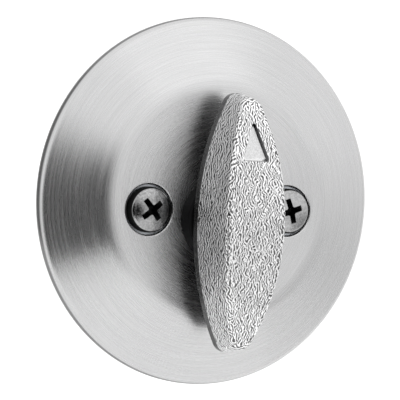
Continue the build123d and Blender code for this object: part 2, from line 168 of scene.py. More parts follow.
# Studio
FLOOR_Z = -160.0
FLOOR_FRONT_Y, FLOOR_NARROW_Y, FLOOR_WIDE_Y = -450.0, -160.0, 160.0
FLOOR_NARROW, FLOOR_WIDE = 200.0, 2600.0  # half widths
FLOOR_LEFT_LIMIT = 450.0  # keeps white out of what the rose's left rim mirrors
BACKDROP_Y, BACKDROP_TOP, BACKDROP_CURVE = 900.0, 2200.0, 500.0
WORLD_STRENGTH = 1.1
DIM_AREAS = [  # direction, half width and height, softness of the edge, and weight
    ((-22.0, -9.0), (27.0, 25.0), 0.3, 1.0),
    ((60.0, -31.0), (42.0, 28.0), 0.7, 0.42),
    ((-135.0, 0.0), (50.0, 60.0), 0.25, 0.6),
]
LIGHT_DISTANCE = 1.0  # metres
LIGHTS = [  # name, azimuth, elevation, size in metres and power in watts
    ("key", 24.0, 42.0, 0.7, 0.35),
    ("fill", -66.0, 6.0, 0.3, 0.06),
]

# Camera
CAMERA_AZIMUTH, CAMERA_ELEVATION, CAMERA_ROLL = -27.0, 1.5, 1.5
CAMERA_DISTANCE = 0.5  # metres
CAMERA_LENS, CAMERA_SENSOR = 247.4, 36.0
CAMERA_CLIP = (0.01, 20.0)  # metres
CAMERA_AIM = (-0.77, 0.15)  # from the rose's centre, to the right and up in the picture


# ---------------------------------------------------------------- mesh helpers


def add_object(name, bm, material=None, smooth_angle=35.0):
    """A mesh object from a bmesh in millimetres, smooth except at sharp edges."""
    bmesh.ops.scale(bm, vec=(MM, MM, MM), verts=bm.verts)
    bmesh.ops.recalc_face_normals(bm, faces=bm.faces)
    mesh = bpy.data.meshes.new(name)
    bm.to_mesh(mesh)
    bm.free()
    obj = bpy.data.objects.new(name, mesh)
    bpy.context.scene.collection.objects.link(obj)
    if material:
        mesh.materials.append(material)
    shade(obj, smooth_angle)
    return obj


def shade(obj, smooth_angle):
    """Smooth shading, except at edges sharper than an angle."""
    obj.data.shade_smooth()
    obj.data.set_sharp_from_angle(angle=math.radians(smooth_angle))


def even_normals(obj):
    """Large flat faces keep their own normals up to their rounded edges."""
    modifier = obj.modifiers.new("even_normals", "WEIGHTED_NORMAL")
    modifier.mode = "FACE_AREA"
    modifier.keep_sharp = True


def stands_for(obj, node):
    """obj replaces a CAD node and rides on its body."""
    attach(obj, BODY_OF[node])
    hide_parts(node)
    return obj


def arc(centre, radius, start, end, steps):
    """Points on an arc, in degrees anticlockwise from the first axis."""
    angles = np.radians(np.linspace(start, end, steps + 1))
    return [(centre[0] + radius * math.cos(a), centre[1] + radius * math.sin(a)) for a in angles]


def circle(radius, steps):
    """Points round the origin, each one once."""
    return arc((0, 0), radius, 0, 360, steps)[:-1]


def rounded_path(points, radii, steps):
    """A path with some corners rounded: radii is {point number: radius}."""
    out = []
    for i, point in enumerate(points):
        radius = radii.get(i)
        if not radius:
            out.append(point)
            continue
        here = Vector(point)
        to_last = (Vector(points[i - 1]) - here).normalized()
        to_next = (Vector(points[(i + 1) % len(points)]) - here).normalized()
        half = to_last.angle(to_next) / 2
        middle = here + (to_last + to_next).normalized() * (radius / math.sin(half))
        first = here + to_last * (radius / math.tan(half)) - middle
        last = here + to_next * (radius / math.tan(half)) - middle
        turn = first.angle_signed(last)
        for k in range(steps + 1):
            spoke = Matrix.Rotation(-turn * k / steps, 2) @ first
            out.append(tuple(middle + spoke))
    return out


def bridge(bm, first, second):
    """Quads between two rings of the same length."""
    n = len(first)
    for k in range(n):
        bm.faces.new((first[k], first[(k + 1) % n], second[(k + 1) % n], second[k]))


def turned_ring(bm, centre, radii, y):
    """A ring of vertices round an axis along Y, with a radius for each."""
    loop = []
    for k, radius in enumerate(radii):
        angle = 2 * math.pi * k / len(radii)
        x = centre[0] + radius * math.cos(angle)
        z = centre[1] + radius * math.sin(angle)
        loop.append(bm.verts.new((x, y, z)))
    return loop


def lathe(bm, profile, centre=(0.0, 0.0), segments=96):
    """A profile of (radius, height) points turned about an axis along Y. Returns its rings."""
    rings = [turned_ring(bm, centre, [radius] * segments, -height) for radius, height in profile]
    for first, second in zip(rings, rings[1:]):
        bridge(bm, first, second)
    return rings


def cap(bm, loop):
    """Closes a ring with a fan, so that a dome's tip stays round."""
    centre = sum((v.co for v in loop), Vector()) / len(loop)
    tip = bm.verts.new(centre)
    for k, vert in enumerate(loop):
        bm.faces.new((vert, loop[(k + 1) % len(loop)], tip))


def fill_between(bm, *loops):
    """A flat sheet inside the first loop and outside the others."""
    edges = []
    for loop in loops:
        for k, vert in enumerate(loop):
            pair = (vert, loop[(k + 1) % len(loop)])
            edges.append(bm.edges.get(pair) or bm.edges.new(pair))
    bmesh.ops.triangle_fill(bm, use_beauty=True, edges=edges)


def slab(name, loops, start, end, edge=0.0):
    """A solid from y = start to y = end: outlines of (x, z) points, the first one outermost."""
    bm = bmesh.new()
    first = [[bm.verts.new((x, start, z)) for x, z in loop] for loop in loops]
    last = [[bm.verts.new((x, end, z)) for x, z in loop] for loop in loops]
    for near, far in zip(first, last):
        bridge(bm, near, far)
    rims = [bm.edges.get((loop[k - 1], loop[k])) for loop in first + last for k in range(len(loop))]
    fill_between(bm, *first)
    fill_between(bm, *last)
    if edge:
        bmesh.ops.bevel(bm, geom=rims, offset=edge, segments=2, affect="EDGES", profile=0.5)
    return add_object(name, bm)


def cut(obj, cutter, operation="DIFFERENCE"):
    """Applies an exact boolean with a helper object, which is then removed."""
    modifier = obj.modifiers.new("cut", "BOOLEAN")
    modifier.operation = operation
    modifier.solver = "EXACT"
    modifier.object = cutter
    graph = bpy.context.evaluated_depsgraph_get()
    result = bpy.data.meshes.new_from_object(obj.evaluated_get(graph))
    obj.modifiers.remove(modifier)
    old = obj.data
    obj.data = result
    result.name = old.name
    bpy.data.meshes.remove(old)
    bpy.data.objects.remove(cutter)
    return obj


# ---------------------------------------------------------------- material helpers


def new_material(name):
    """An empty node material and its Principled shader."""
    material = bpy.data.materials.new(name)
    material.use_nodes = True
    return material, material.node_tree.nodes["Principled BSDF"]


def link(material, socket, target):
    material.node_tree.links.new(socket, target)


def add_node(material, kind, inputs=None, **settings):
    """A node with its settings and its input values or links."""
    node = material.node_tree.nodes.new(kind)
    for key, value in settings.items():
        setattr(node, key, value)
    for key, value in (inputs or {}).items():
        if isinstance(value, bpy.types.NodeSocket):
            link(material, value, node.inputs[key])
        else:
            node.inputs[key].default_value = value
    return node


def maths(material, operation, first, second=0.0, third=0.0):
    """One arithmetic step, as its output socket."""
    inputs = {0: first, 1: second, 2: third}
    return add_node(material, "ShaderNodeMath", inputs, operation=operation).outputs[0]


def add_squares(material, first, second):
    """The sum of two values' squares."""
    return maths(material, "MULTIPLY_ADD", first, first, maths(material, "MULTIPLY", second, second))


def share_out(material, first, second, share):
    """Two values added up in shares."""
    rest = maths(material, "MULTIPLY", second, 1 - share)
    return maths(material, "ADD", maths(material, "MULTIPLY", first, share), rest)


def remap(material, value, low, high, to_low, to_high):
    """value moved smoothly from one range to another."""
    inputs = {"Value": value, "From Min": low, "From Max": high, "To Min": to_low, "To Max": to_high}
    return add_node(material, "ShaderNodeMapRange", inputs, interpolation_type="SMOOTHSTEP").outputs[0]


def spread(material, noise, to_low=0.0, to_high=1.0, reach=0.2):
    """A noise value, which is mostly within reach of a half, moved to another range."""
    return remap(material, noise, 0.5 - reach, 0.5 + reach, to_low, to_high)


def blend_colours(material, factor, first, second):
    """Two colours mixed by a factor."""
    node = add_node(material, "ShaderNodeMix", {0: factor}, data_type="RGBA")
    for socket, value in ((node.inputs[6], first), (node.inputs[7], second)):
        if isinstance(value, bpy.types.NodeSocket):
            link(material, value, socket)
        else:
            socket.default_value = (*value, 1.0)
    return node.outputs[2]


def row_position(material):
    """The surface point in the row frame, in metres."""
    return add_node(material, "ShaderNodeTexCoord").outputs["Object"]


def noise_value(material, vector, scale, detail=2.0, roughness=0.5):
    """Noise from 0 to 1, with as many cells as its scale along each unit of the vector."""
    inputs = {"Vector": vector, "Scale": scale, "Detail": detail, "Roughness": roughness}
    return add_node(material, "ShaderNodeTexNoise", inputs).outputs["Fac"]


def attribute(material, name):
    """A value that the mesh holds for each vertex."""
    return add_node(material, "ShaderNodeAttribute", attribute_name=name).outputs["Fac"]


def bump(material, height, strength, distance):
    """A normal tilted by a height, where distance is in millimetres."""
    inputs = {"Height": height, "Strength": strength, "Distance": distance * MM}
    return add_node(material, "ShaderNodeBump", inputs).outputs["Normal"]


def grey(value):
    """A near-neutral grey, a touch cool."""
    return (value, value, value * 1.005)


# ---------------------------------------------------------------- materials


def satin_chrome():
    """Brushed plate: fine rings round the rose's centre, as a turning brush leaves them, with painted
    shade on the outer rim.
    """
    material, shader = new_material("satin_chrome")
    inputs = {0: row_position(material), 1: (0, 0, ROSE_Z * MM)}
    place = add_node(material, "ShaderNodeVectorMath", inputs, operation="SUBTRACT").outputs[0]
    parts = add_node(material, "ShaderNodeSeparateXYZ", {0: place}).outputs
    flat = add_node(material, "ShaderNodeCombineXYZ", {"X": parts["X"], "Z": parts["Z"]}).outputs[0]
    radius = add_node(material, "ShaderNodeVectorMath", {0: flat}, operation="LENGTH").outputs["Value"]
    spoke = add_node(material, "ShaderNodeVectorMath", {0: flat}, operation="NORMALIZE").outputs[0]
    ray = add_node(material, "ShaderNodeSeparateXYZ", {0: spoke}).outputs

    def brush(rings_per_metre, cells_round):
        """Noise space that is stretched along the rings."""
        inputs = {
            "X": maths(material, "MULTIPLY", radius, rings_per_metre),
            "Y": maths(material, "MULTIPLY", ray["X"], cells_round),
            "Z": maths(material, "MULTIPLY", ray["Z"], cells_round),
        }
        return add_node(material, "ShaderNodeCombineXYZ", inputs).outputs[0]

    fine = noise_value(material, brush(12000, 2.5), 1.0, 3.0, 0.6)
    broad = noise_value(material, brush(3200, 1.0), 1.0)
    cloud = noise_value(material, place, 60.0)
    lines = share_out(material, fine, broad, 0.85)
    brushed = blend_colours(material, spread(material, lines), grey(0.57), grey(0.66))
    start, end = ((ROSE_RADIUS - distance) * MM for distance in RIM_SHADE_EDGE)
    # painted shade: the rim's outermost band is darkened
    rim_shade = remap(material, radius, start, end, 0.0, 1.0)
    colour = blend_colours(material, rim_shade, brushed, grey(0.22))
    cloudy = maths(material, "MULTIPLY", cloud, 0.04)
    rough = maths(material, "ADD", spread(material, broad, 0.22, 0.27), cloudy)
    tangent = add_node(material, "ShaderNodeTangent", direction_type="RADIAL", axis="Y").outputs[0]
    link(material, colour, shader.inputs["Base Color"])
    link(material, rough, shader.inputs["Roughness"])
    link(material, bump(material, lines, 0.3, 0.04), shader.inputs["Normal"])
    link(material, tangent, shader.inputs["Tangent"])
    shader.inputs["Metallic"].default_value = 1.0
    shader.inputs["Anisotropic"].default_value = 0.8
    shader.inputs["Anisotropic Rotation"].default_value = 0.25
    return material


def cast_satin():
    """Satin-plated casting. The mesh holds the grain's field, which is low along its grooves. The
    colour carries painted shade in the grooves, on the skirt and back and on the mark's walls, and
    painted highlights on the ridges.
    """
    material, shader = new_material("cast_satin")
    field = attribute(material, "grain")
    cast_and_shade = attribute(material, "cast_and_shade")
    place = row_position(material)
    speck = noise_value(material, place, 5200.0, 3.0, 0.6)
    cloud = noise_value(material, place, 220.0, 3.0)
    wander = spread(material, cloud, 0.15, 0.5)
    pebble = remap(material, field, -0.75, wander, 0.0, 1.0)
    # painted shade in the grain's grooves and painted highlight on its ridges
    pebble_shade_and_highlight = blend_colours(material, pebble, grey(0.13), grey(0.96))
    specked = spread(material, speck, reach=0.15)
    plain_colour = blend_colours(material, specked, grey(0.62), grey(0.76))
    colour = blend_colours(material, cast_and_shade, plain_colour, pebble_shade_and_highlight)
    # painted shade: the skirt, the back and the mark's walls are darkened
    painted_shade = remap(material, cast_and_shade, 0.9 * PAINTED_SHADE, 0.1 * PAINTED_SHADE, 1.0, 0.0)
    colour = blend_colours(material, painted_shade, colour, grey(0.14))
    specked_gloss = spread(material, speck, 0.0, 0.06)
    rough = maths(material, "ADD", spread(material, cloud, 0.16, 0.2), specked_gloss)
    height = maths(material, "MULTIPLY_ADD", pebble, cast_and_shade, maths(material, "MULTIPLY", speck, 0.3))
    link(material, colour, shader.inputs["Base Color"])
    link(material, rough, shader.inputs["Roughness"])
    link(material, bump(material, height, 0.5, 0.08), shader.inputs["Normal"])
    shader.inputs["Metallic"].default_value = 1.0
    return material


def moulded_nylon(name, tone, tone_spread, roughness, gloss):
    """Moulded plastic with a faint flow texture."""
    material, shader = new_material(name)
    place = row_position(material)
    fine = noise_value(material, place, 6000.0, 2.0, 0.6)
    cloud = noise_value(material, place, 350.0)
    low = tuple(c * (1 - tone_spread) for c in tone)
    colour = blend_colours(material, spread(material, cloud), low, tone)
    rough = spread(material, fine, roughness - 0.06, roughness + 0.06)
    link(material, colour, shader.inputs["Base Color"])
    link(material, rough, shader.inputs["Roughness"])
    link(material, bump(material, fine, 0.2, 0.03), shader.inputs["Normal"])
    shader.inputs["Specular IOR Level"].default_value = gloss
    return material


def plated_steel(name, dark, light, roughness):
    """Plated or bare steel: a fine grain and faint clouds."""
    material, shader = new_material(name)
    place = row_position(material)
    fine = noise_value(material, place, 2600.0, 3.0, 0.6)
    cloud = noise_value(material, place, 180.0, 3.0, 0.55)
    tone = share_out(material, fine, cloud, 0.5)
    colour = blend_colours(material, spread(material, tone, reach=0.15), dark, light)
    rough = spread(material, tone, roughness - 0.07, roughness + 0.07)
    link(material, colour, shader.inputs["Base Color"])
    link(material, rough, shader.inputs["Roughness"])
    link(material, bump(material, fine, 0.25, 0.04), shader.inputs["Normal"])
    shader.inputs["Metallic"].default_value = 1.0
    return material


def screw_plate():
    """Bright nickel plate, with painted shade in the screws' cross recesses and round their heads'
    sides.

    The screws are equally far to the left and right, so one set of steps serves both.
    """
    material = plated_steel("screw_plating", grey(0.26), grey(0.5), 0.18)
    shader = material.node_tree.nodes["Principled BSDF"]
    lo, hi = SCREW_BOXES["right"]
    parts = add_node(material, "ShaderNodeSeparateXYZ", {0: row_position(material)}).outputs
    beside = maths(material, "ABSOLUTE", parts["X"])
    across = maths(material, "SUBTRACT", beside, (lo.x + hi.x) / 2 * MM)
    up = maths(material, "SUBTRACT", parts["Z"], (lo.z + hi.z) / 2 * MM)
    square = add_squares(material, across, up)
    dome = maths(material, "MULTIPLY_ADD", square, -0.5 / (SCREW_DOME_RADIUS * MM), -lo.y * MM)
    sunk = maths(material, "ADD", dome, parts["Y"])
    start, full = (depth * MM for depth in RECESS_SHADE_DEPTHS)
    below = remap(material, sunk, start, full, 0.0, 1.0)
    start, end = ((RECESS_DEPTH + distance) * MM for distance in RECESS_SHADE_END)
    above = remap(material, sunk, start, end, 1.0, 0.0)
    start, end = ((RECESS_TIP * MM * share) ** 2 for share in (1.0, RECESS_SHADE_REACH))
    inside = remap(material, square, start, end, 1.0, 0.0)
    recess = maths(material, "MULTIPLY", maths(material, "MULTIPLY", below, above), inside)
    start, full = (((hi.x - lo.x) / 2 * MM * share) ** 2 for share in HEAD_SIDE)
    side = remap(material, square, start, full, 0.0, 1.0)
    # painted shade in the recess and round the head's side
    screw_shade = maths(material, "MAXIMUM", recess, side)
    plate = shader.inputs["Base Color"].links[0].from_socket
    gloss = shader.inputs["Roughness"].links[0].from_socket
    link(material, blend_colours(material, screw_shade, plate, grey(0.012)), shader.inputs["Base Color"])
    link(material, maths(material, "MULTIPLY_ADD", screw_shade, 0.4, gloss), shader.inputs["Roughness"])
    return material


# ---------------------------------------------------------------- rose


def rose_profile():
    """The rose's section from the flat front over the rim to the flat back, as (radius, height)."""
    inner_radius = ROSE_RADIUS - SHEET
    inner_top = ROSE_HEIGHT - SHEET
    slope = math.tan(SLOPE)
    outer_foot = ROSE_HEIGHT - (ROSE_RADIUS - PLATEAU_RADIUS) * slope
    inner_drop = SHEET / math.cos(SLOPE)
    inner_foot = ROSE_HEIGHT - inner_drop - (inner_radius - PLATEAU_RADIUS) * slope
    inner_shoulder = PLATEAU_RADIUS + (SHEET - inner_drop) / slope
    flat_end = PLATEAU_RADIUS - SHOULDER_RADIUS * math.tan(SLOPE / 2)
    corners = [
        (flat_end - FRONT_MARGIN, ROSE_HEIGHT),
        (PLATEAU_RADIUS, ROSE_HEIGHT),
        (ROSE_RADIUS, outer_foot),
        (ROSE_RADIUS, 0.0),
        (inner_radius, 0.0),
        (inner_radius, inner_foot),
        (inner_shoulder, inner_top),
        (flat_end - BACK_MARGIN, inner_top),
    ]
    radii = {
        1: SHOULDER_RADIUS,
        2: RIM_RADIUS,
        3: RIM_EDGE_RADIUS,
        4: RIM_EDGE_RADIUS,
        5: RIM_INNER_RADIUS,
        6: SHOULDER_RADIUS - SHEET,
    }
    return rounded_path(corners, radii, steps=12)


def make_rose(material):
    """The stamped rose, with its hole for the collar and its two screw openings."""
    bm = bmesh.new()
    rings = lathe(bm, rose_profile(), (0.0, ROSE_Z), segments=288)
    front, back = [rings[0]], [rings[-1]]
    holes = [((0.0, 0.0), BARREL_HOLE_RADIUS, BARREL_HOLE_LIP)]
    for lo, hi in SCREW_BOXES.values():
        centre = ((lo.x + hi.x) / 2, (lo.z + hi.z) / 2)
        holes.append((centre, SCREW_OPENING_RADIUS, SCREW_OPENING_LIP))
    back_lip_height = ROSE_HEIGHT - SHEET + HOLE_BACK_LIP
    for centre, radius, lip in holes:
        front_arc = arc((radius + lip, ROSE_HEIGHT - lip), lip, 90, 180, 7)
        back_arc = arc((radius + HOLE_BACK_LIP, back_lip_height), HOLE_BACK_LIP, 180, 270, 2)
        wall = lathe(bm, front_arc + back_arc, centre)
        front.append(wall[0])
        back.append(wall[-1])
    fill_between(bm, *front)
    fill_between(bm, *back)
    rose = add_object("rose_shell", bm, material, smooth_angle=50)
    even_normals(rose)
    return stands_for(rose, "rose")


# ---------------------------------------------------------------- thumb-turn


def crown_height(z):
    """Height of the turn's crowned front face."""
    return TURN_HEIGHT - CROWN_RADIUS + np.sqrt(CROWN_RADIUS**2 - z**2)


def loop_places(side_steps, end_steps):
    """Places round the outline: 0 to 1 up the right side, 1 to 2 round the top, and so on."""
    side, end = np.arange(side_steps) / side_steps, np.arange(end_steps) / end_steps
    return np.concatenate([side, 1 + end, 2 + side, 3 + end])


def outline(places, heights, inset=0.0):
    """Points of the grip's outline, two long side arcs and two tight end arcs, as (x, z)."""
    rise = np.maximum(0.0, heights - TURN_WAIST) / (TURN_TOP - TURN_WAIST)
    length = TURN_HALF_LENGTH - inset + (TURN_TOP_HALF_LENGTH - TURN_HALF_LENGTH) * rise
    width = TURN_HALF_WIDTH - inset + (TURN_TOP_HALF_WIDTH - TURN_HALF_WIDTH) * rise
    end = TURN_END_RADIUS
    reach = length - end
    side = (reach**2 + width**2 - end**2) / (2 * (width - end))
    join = np.arcsin(reach / (side - end))
    share = places % 1
    side_angle = join * (2 * share - 1)
    end_angle = join + (np.pi - 2 * join) * share
    on_side = places % 2 < 1
    x = np.where(on_side, side * np.cos(side_angle) - (side - width), end * np.cos(end_angle))
    z = np.where(on_side, side * np.sin(side_angle), reach + end * np.sin(end_angle))
    half_turn = np.where(places < 2, 1.0, -1.0)
    return x * half_turn, z * half_turn


def shrink(x, z, share):
    """A ring drawn in towards the grip's middle line, where a share of 1 is the whole ring."""
    return x * share, z * (MIDDLE_LINE + (1 - MIDDLE_LINE) * share)


def grip_rings():
    """The grip as rings of points from the middle of its back to the middle of its front.

    Returns the rings, the number of the waist's ring and the number of the first flat front ring.
    """
    counts = ((300, 36, 60, 8, 52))
    side_steps, end_steps, flank_steps, ridge_steps, front_steps = counts
    places = loop_places(side_steps, end_steps)
    rings = []

    def add(x, z, height):
        rings.append(np.column_stack([x, -height * np.ones(len(x)), z]))

    back_x, back_z = outline(places, TURN_BACK, BACK_RADIUS)
    for share in (0.0, 0.4, 0.8):
        add(*shrink(back_x, back_z, share), TURN_BACK)
    for inset, height in arc((BACK_RADIUS, TURN_BACK + BACK_RADIUS), BACK_RADIUS, 270, 180, 5):
        add(*outline(places, TURN_BACK, inset), height)
    for height in SKIRT_HEIGHTS:
        add(*outline(places, TURN_BACK), height)
    waist = len(rings)

    # The ridge is where the outline, which narrows upwards, meets the crowned front. A few
    # rounds of putting one into the other find its height.
    foot = np.column_stack([*outline(places, TURN_WAIST), np.full(len(places), TURN_WAIST)])
    height = np.full(len(places), TURN_HEIGHT)
    for _ in range(12):
        height = crown_height(outline(places, height)[1])
    ridge = np.column_stack([*outline(places, height), height])

    def front_point(share):
        x, z = shrink(ridge[:, 0], ridge[:, 1], share)
        return np.column_stack([x, z, crown_height(z)])

    # The ridge is rounded between a point RIDGE_REACH down the flank and one as far inwards.
    down = foot - ridge
    down /= np.linalg.norm(down, axis=1, keepdims=True)
    below = ridge + down * RIDGE_REACH
    step = 0.1
    inward = front_point(1 - step) - ridge
    start = 1 - RIDGE_REACH / np.linalg.norm(inward, axis=1) * step
    first = front_point(start)
    for share in np.linspace(0, 1, flank_steps):
        add(*(foot + (below - foot) * share).T)
    for t in np.linspace(0, 1, ridge_steps + 1)[1:-1]:
        add(*(below * (1 - t) ** 2 + ridge * 2 * t * (1 - t) + first * t**2).T)
    flat = len(rings)
    for share in np.linspace(1, 0, front_steps):
        add(*front_point(start * share).T)
    return np.array(rings), waist, flat


def wave_field(along, across, wavelengths, seed, period=None):
    """A random field of crossing waves: its hills are the casting's wandering ridges.

    A period is a distance after which the field repeats along its first direction.
    """
    rng = np.random.default_rng(seed)
    total = np.zeros_like(along)
    for length in SWAY_LENGTHS:
        turn = 2 * math.pi / length
        sway = SWAY_SHARE * length
        curl = SWAY_CURL * np.sin(turn * SWAY_RATES[0] * along)
        along = along + sway * np.sin(turn * across + curl)
        curl = SWAY_CURL * np.sin(turn * SWAY_RATES[1] * across)
        across = across + sway * np.sin(turn * along + curl)
    first_angle, angle_range = WAVE_ANGLES
    for k in range(GRAIN_WAVES):
        angle = math.pi * (first_angle + angle_range * (k + rng.uniform(0, 1)) / GRAIN_WAVES)
        scale = rng.uniform(*WAVE_SCALES)
        rate = math.cos(angle) * scale / wavelengths[0]
        if period:  # a whole number of waves, so that the field meets itself
            rate = round(rate * period) / period
        phase = 2 * math.pi * (rate * along + math.sin(angle) * scale / wavelengths[1] * across)
        total += np.cos(phase + rng.uniform(0, 2 * math.pi))
    return total / math.sqrt(GRAIN_WAVES / 2)


def casting_grain(rings, waist, flat):
    """The grain's field on the grip: its ridges follow the outline, and are upright in front."""
    steps = np.linalg.norm(np.diff(rings[waist], axis=0, append=rings[waist][:1]), axis=1)
    along = np.concatenate([[0], np.cumsum(steps)[:-1]])
    climbs = np.linalg.norm(np.diff(rings, axis=0), axis=2)
    across = np.concatenate([np.zeros((1, len(along))), np.cumsum(climbs, axis=0)])
    round_grip = np.broadcast_to(along, across.shape)
    flank = wave_field(round_grip, across, FLANK_GRAIN, FLANK_SEED, steps.sum())
    front = wave_field(rings[..., 2], rings[..., 0], FRONT_GRAIN, FRONT_SEED)
    blend_start, blend_rings = GRAIN_BLEND
    crossing = np.clip((np.arange(len(rings)) - flat - blend_start) / blend_rings, 0, 1)
    angle = crossing[:, None] * math.pi / 2
    return FLANK_GRAIN_STRENGTH * flank * np.cos(angle) + front * np.sin(angle)


def ring_normals(rings, flat):
    """Outward normals of the grip's rings, exact on the crowned front."""
    along = np.roll(rings, -1, axis=1) - np.roll(rings, 1, axis=1)
    across = np.gradient(rings, axis=0)
    normals = np.cross(along, across)
    normals /= np.maximum(np.linalg.norm(normals, axis=2, keepdims=True), 1e-12)
    z = rings[flat:, :, 2]
    tilt = np.sqrt(CROWN_RADIUS**2 - z**2)
    normals[flat:] = np.stack([0 * z, -tilt, z], axis=2) / CROWN_RADIUS
    on_flank = flat - 20  # a ring whose side tells which way is outwards
    side = rings[on_flank, 0]
    if normals[on_flank, 0] @ (side[0], 0, side[2]) < 0:
        normals[:flat] *= -1
    return normals


def grip_mesh(rings, grain, cast_and_shade):
    """The rings joined up. Each vertex holds the grain's field and its ring's value of painted shade,
    plain metal or pebbled grain.
    """
    bm = bmesh.new()
    grain_layer = bm.verts.layers.float.new("grain")
    cast_and_shade_layer = bm.verts.layers.float.new("cast_and_shade")
    last = None
    for ring_points, ring_grain, ring_cast_and_shade in zip(rings, grain, cast_and_shade):
        loop = []
        for point, value in zip(ring_points, ring_grain):
            vert = bm.verts.new(point)
            vert[grain_layer] = value
            vert[cast_and_shade_layer] = ring_cast_and_shade
            loop.append(vert)
        if last:
            bridge(bm, last, loop)
        last = loop
    bmesh.ops.remove_doubles(bm, verts=bm.verts, dist=GRIP_WELD)
    return bm


def shade_mark_walls(turn):
    """The mark's walls get painted shade and its floor stays plain, by their depth below the face."""
    cast_and_shade = turn.data.attributes["cast_and_shade"].data
    top, bottom = MARK_SHADE
    floor_level = (bottom + MARK_DEPTH) / 2
    for vert in turn.data.vertices:
        x, y, z = (value / MM for value in vert.co)
        depth = y + crown_height(z)
        upright = MARK_BASE_Z - MARK_MARGIN < z < MARK_APEX_Z
        in_mark = upright and abs(x) < MARK_HALF_BASE + MARK_MARGIN
        if in_mark and top - MARK_SLACK < depth < MARK_DEPTH + MARK_SLACK:
            # painted shade on the walls, plain metal on the floor
            cast_and_shade[vert.index].value = PLAIN if depth > floor_level else PAINTED_SHADE


def make_turn(material):
    """The grip, pebbled in front of its waist, with painted shade on its back and skirt, with its mark
    and its stem.
    """
    rings, waist, flat = grip_rings()
    grain = casting_grain(rings, waist, flat)
    # painted shade on the back and skirt, pebbled grain in front of the waist
    cast_and_shade = np.full(len(rings), PAINTED_SHADE)
    cast_and_shade[waist + 1:] = PEBBLED
    groove, ridge = GRAIN_LEVELS
    relief = np.clip((grain - groove) / (ridge - groove), 0, 1)
    depth = GRAIN_DEPTH * (1 - relief) * np.maximum(cast_and_shade, 0)[:, None]
    rings = rings - ring_normals(rings, flat) * depth[..., None]
    bm = grip_mesh(rings, grain, cast_and_shade)
    turn = add_object("thumb_turn_casting", bm, material, smooth_angle=60)
    cut(turn, mark_cutter())
    shade_mark_walls(turn)
    lean = Matrix.Rotation(math.radians(TURN_LEAN), 4, "Y")
    turn.data.transform(Matrix.Translation((0, 0, TURN_CENTRE_Z * MM)) @ lean)
    cut(turn, make_stem(), "UNION")
    shade(turn, 55)
    return stands_for(turn, "thumb_turn")


def make_stem():
    """The stem behind the grip: journal, squared drive, ring groove, blade socket and pin hole."""
    bm = bmesh.new()
    centre, front, back = 0.01, STEM_FRONT, -STEM_SQUARE_Y
    profile = [(centre, front), (STEM_RADIUS, front), (STEM_RADIUS, back), (centre, back)]
    rings = lathe(bm, profile)
    cap(bm, rings[0])
    cap(bm, rings[-1])
    stem = add_object("stem", bm)
    corner = math.degrees(math.acos(STEM_SQUARE / 2 / STEM_CORNER_RADIUS))
    square = []
    for quarter in (0, 90, 180, 270):
        square += arc((0, 0), STEM_CORNER_RADIUS, quarter + corner, quarter + 90 - corner, 8)
    drive_start = STEM_SQUARE_Y - DRIVE_OVERLAP
    cut(stem, slab("drive", [square], drive_start, TURN_HI.y, STEM_SQUARE_EDGE), "UNION")
    groove = [circle(STEM_RADIUS + CUTTER_PAST, 96), circle(STEM_GROOVE_RADIUS, 96)]
    cut(stem, slab("groove", groove, RING_LO.y - GROOVE_SLACK[0], RING_HI.y + GROOVE_SLACK[1]))
    lean = math.degrees(math.acos(SOCKET_FLAT_X / SOCKET_RADIUS))
    socket = arc((0, 0), SOCKET_RADIUS, -lean, lean, 48)
    cut(stem, slab("socket", [socket], SOCKET_Y, TURN_HI.y + CUTTER_PAST))
    pin_hole = slab("pin_hole", [circle(PIN_HOLE_RADIUS, 32)], -PIN_CUTTER_REACH, PIN_CUTTER_REACH)
    crosswise = Matrix.Rotation(math.pi / 2, 4, "Z")
    pin_hole.data.transform(Matrix.Translation((0, PIN_Y * MM, 0)) @ crosswise)
    return cut(stem, pin_hole)


def mark_cutter():
    """The mark's cutter: its floor follows the crowned face, MARK_DEPTH below it."""
    middle = (2 * MARK_BASE_Z + MARK_APEX_Z) / 3
    bm = bmesh.new()
    loops = []
    sections = [(depth, 1.0) for depth in (-CUTTER_PAST, *MARK_SHADE)]
    for depth, size in sections + [(MARK_DEPTH, MARK_FLOOR_SHARE)]:
        base, apex = (middle + (z - middle) * size for z in (MARK_BASE_Z, MARK_APEX_Z))
        corners = [(-MARK_HALF_BASE * size, base), (MARK_HALF_BASE * size, base), (0.0, apex)]
        path = rounded_path(corners, dict.fromkeys(range(3), MARK_CORNER), steps=6)
        loop = [bm.verts.new((x, -crown_height(z) + depth, z)) for x, z in path]
        if loops:
            bridge(bm, loops[-1], loop)
        loops.append(loop)
    fill_between(bm, loops[0])
    fill_between(bm, loops[-1])
    return add_object("mark_cutter", bm)


# ---------------------------------------------------------------- screws


def screw_head_profile():
    """The pan head from its top to the shank, as (radius, height above the door)."""
    lo, hi = SCREW_BOXES["left"]
    radius, top = (hi.x - lo.x) / 2, -lo.y

    def dome_height(r):
        return top - r * r / (2 * SCREW_DOME_RADIUS)

    dome_end = radius - SCREW_ROUNDING
    dome = [(r, dome_height(r)) for r in np.linspace(0.05, dome_end, 14)]
    edge = Vector((dome_end, dome_height(dome_end)))
    corner = Vector((radius - SCREW_EDGE, edge.y - SCREW_EDGE))
    foot = Vector((radius, SCREW_HEAD_BASE + SCREW_RIM_HEIGHT))
    side = [edge.lerp(corner, t).lerp(corner.lerp(foot, t), t) for t in np.arange(1, 9) / 8]
    base = [(radius, SCREW_HEAD_BASE + SCREW_EDGE), (radius - SCREW_EDGE, SCREW_HEAD_BASE)]
    shank = (THREAD_MAJOR - SHANK_INSET, SCREW_HEAD_BASE)
    return dome + [tuple(p) for p in side] + base + [shank]


